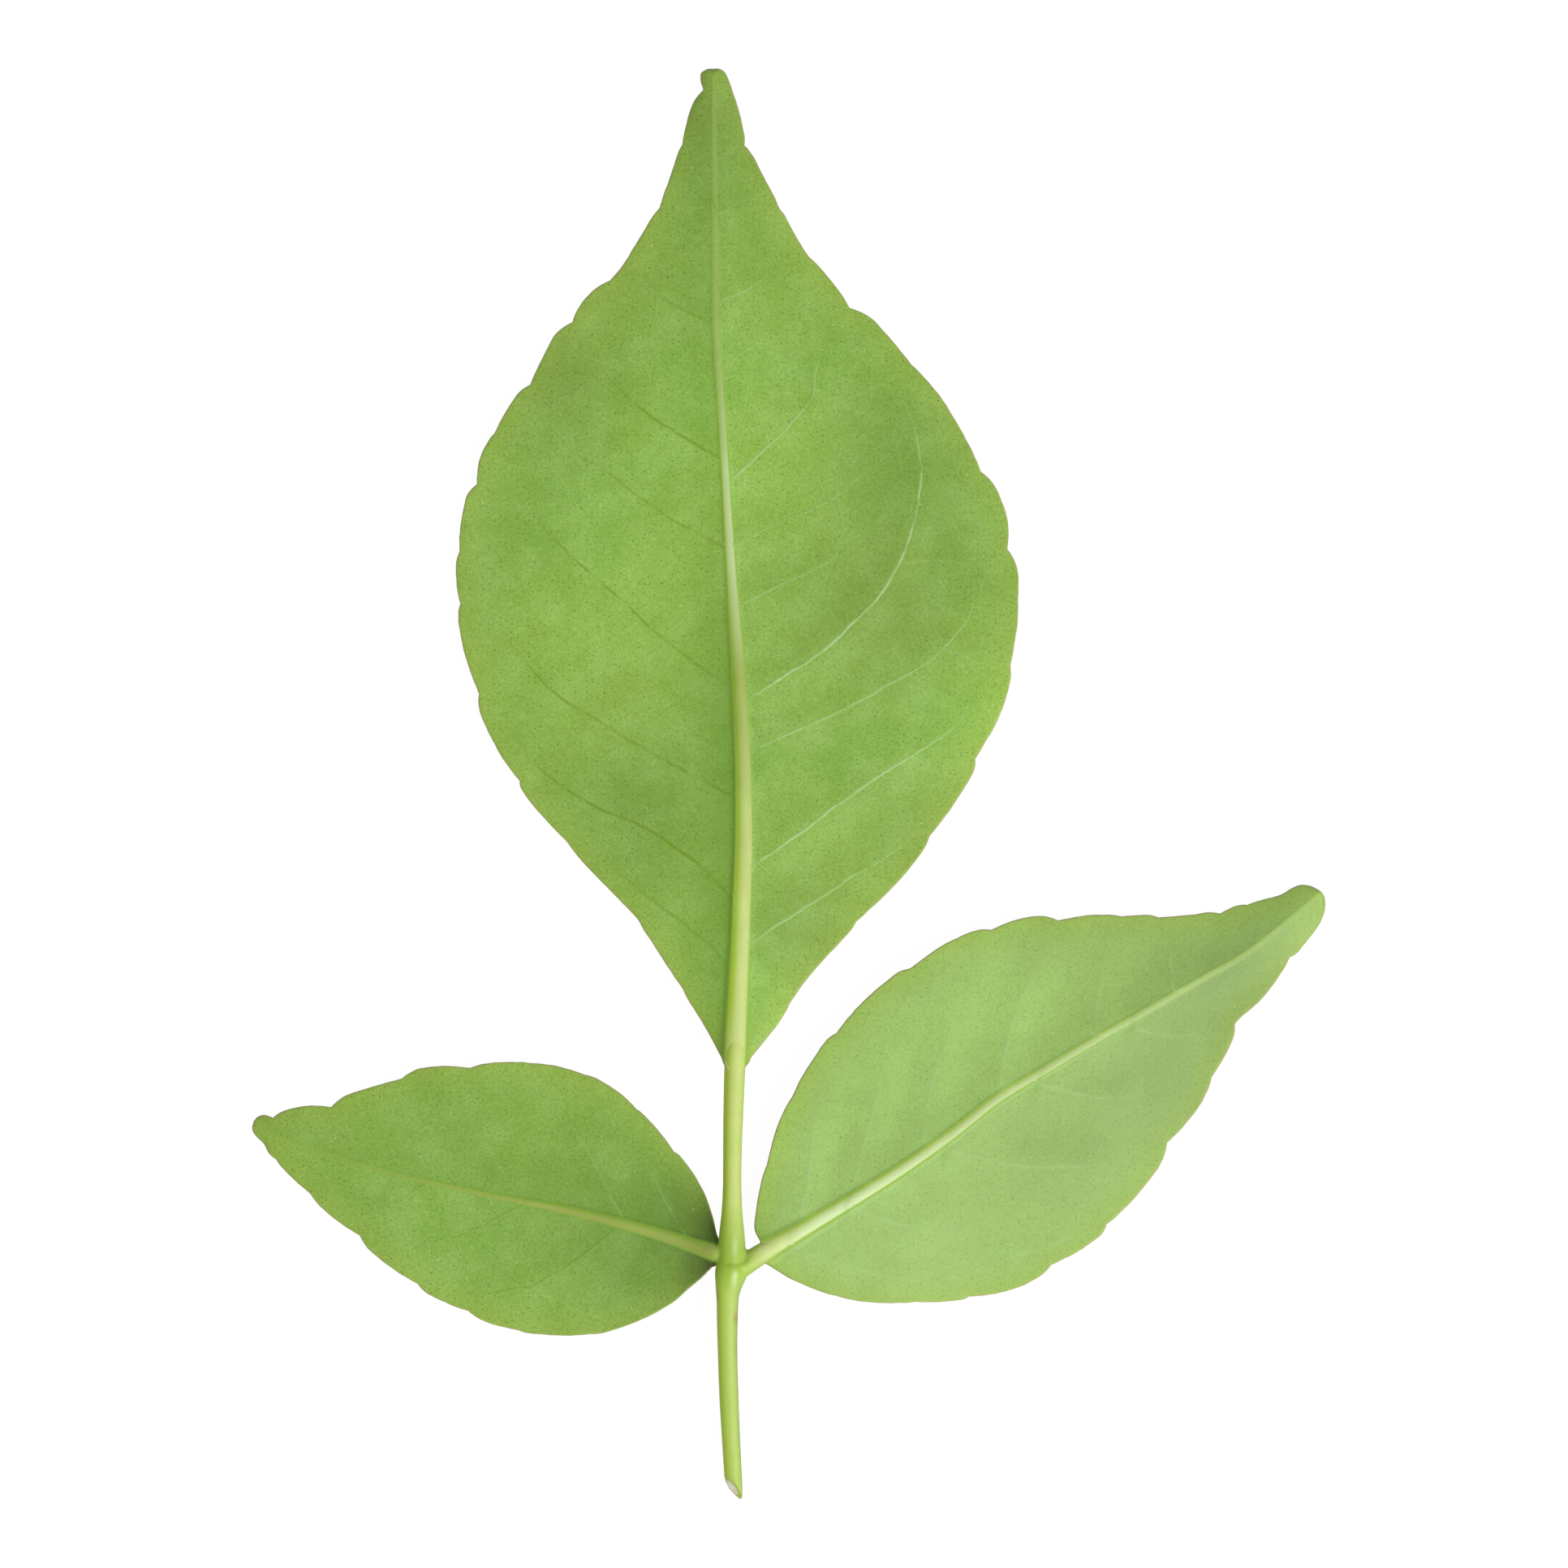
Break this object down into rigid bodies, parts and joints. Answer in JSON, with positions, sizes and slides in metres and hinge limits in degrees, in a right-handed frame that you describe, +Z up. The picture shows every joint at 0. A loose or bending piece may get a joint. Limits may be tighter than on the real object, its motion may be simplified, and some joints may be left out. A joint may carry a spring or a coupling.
{
  "type": "bael leaf",
  "caption": "Cut trifoliate bael leaf lying underside up: long-stalked end leaflet, two side leaflets, leaf stalk.",
  "frame": {"origin": "under the middle of the whole leaf, on the surface that it lies on", "axes": "+Y from the stalk's cut end towards the end leaflet's tip, +Z up out of the veined underside, +X to the right of +Y as seen from above"},
  "size_m": [0.0786, 0.1044, 0.0043],
  "materials": {
    "leaf_blade": "satin",
    "leaf_stalk": "satin"
  },
  "bodies": {
    "root": {"petiole": "leaf_stalk", "terminal_leaflet": "leaf_blade", "left_leaflet": "leaf_blade", "right_leaflet": "leaf_blade"}
  },
  "joints": []
}
